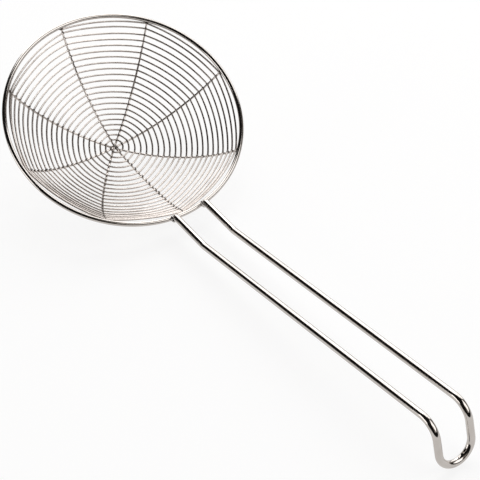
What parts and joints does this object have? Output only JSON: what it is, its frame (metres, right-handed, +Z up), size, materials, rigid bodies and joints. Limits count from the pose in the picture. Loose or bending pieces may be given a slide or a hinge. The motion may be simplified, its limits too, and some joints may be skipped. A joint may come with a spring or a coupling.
{
  "type": "spider skimmer",
  "caption": "Bowl-shaped wire skimmer: one thin wire wound in a spiral on crossed wires inside a round rim, with a long two-legged wire handle bent down into a hanging loop",
  "frame": {"origin": "on the table under the middle of the whole skimmer, as it rests on its bowl and on the tip of its loop", "axes": "+X along the handle from the bowl to the hanging loop, +Y across the handle, +Z up from the table"},
  "size_m": [0.3863, 0.153, 0.0815],
  "materials": {
    "thick_wire": "polished",
    "thin_wire": "polished",
    "weld_metal": "satin"
  },
  "bodies": {
    "root": {"rim_ring": "thick_wire", "handle_wire": "thick_wire", "spiral_wire": "thin_wire", "cross_wire_1": "thin_wire", "cross_wire_2": "thin_wire", "cross_wire_3": "thin_wire", "cross_wire_4": "thin_wire", "hub_weld": "weld_metal", "rib_end_welds": "weld_metal", "handle_weld_left": "weld_metal", "handle_weld_right": "weld_metal"}
  },
  "joints": []
}
